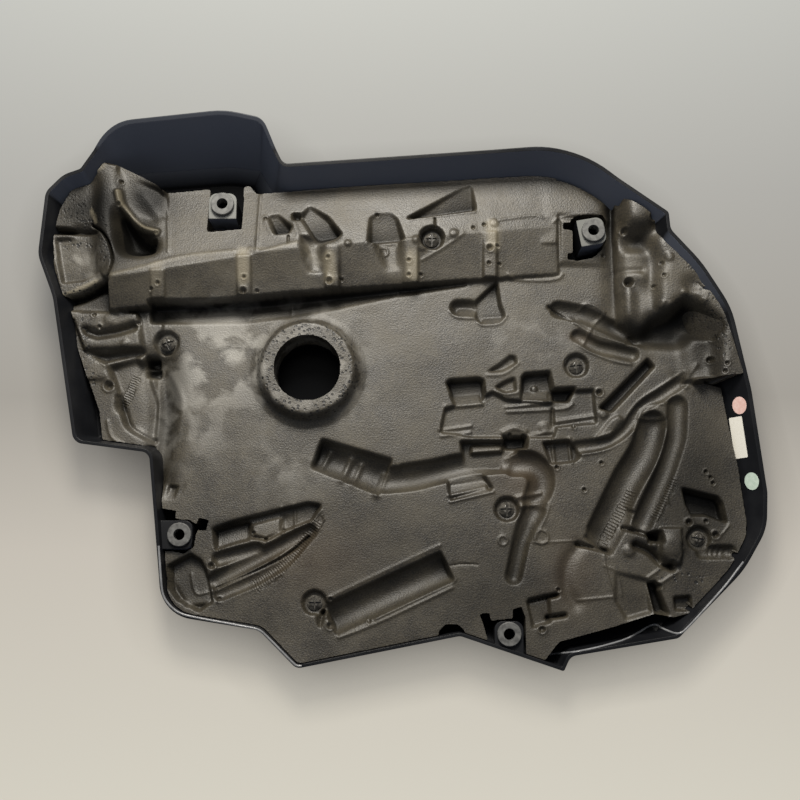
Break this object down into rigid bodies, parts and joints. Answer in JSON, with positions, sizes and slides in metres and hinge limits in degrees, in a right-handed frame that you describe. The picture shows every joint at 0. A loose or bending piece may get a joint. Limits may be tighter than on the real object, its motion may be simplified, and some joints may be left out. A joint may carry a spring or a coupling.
{
  "type": "engine cover",
  "caption": "Moulded engine cover seen from its underside: a shallow plastic tray with a leaning skirt, filled by shaped acoustic foam and held by rubber stud grommets.",
  "frame": {"origin": "centre of the bounding box, on the outer face that the cover lies on", "axes": "+X along the long side, +Y towards the side with the raised lobe, +Z out of the underside, away from the outer face"},
  "size_m": [0.6471, 0.4925, 0.08],
  "materials": {
    "moulded_shell": "fine moulded grain, satin",
    "skinned_foam": "moulded polyurethane foam with a dull pored skin",
    "grommet_rubber": "satin black rubber",
    "clip_plastic": "smooth black plastic",
    "label_paper": "white label paper, blank",
    "pink_sticker": "pale pink paper, blank",
    "green_sticker": "pale green paper, blank"
  },
  "bodies": {
    "root": {"cover_shell": "moulded_shell", "acoustic_foam": "skinned_foam", "grommet_upper_left": "grommet_rubber", "grommet_upper_right": "grommet_rubber", "grommet_lower_left": "grommet_rubber", "grommet_lower_middle": "grommet_rubber", "foam_clip_left": "clip_plastic", "foam_clip_top": "clip_plastic", "foam_clip_right": "clip_plastic", "foam_clip_centre": "clip_plastic", "foam_clip_bottom": "clip_plastic", "foam_clip_corner": "clip_plastic", "paper_label": "label_paper", "round_sticker_pink": "pink_sticker", "round_sticker_green": "green_sticker"}
  },
  "joints": []
}
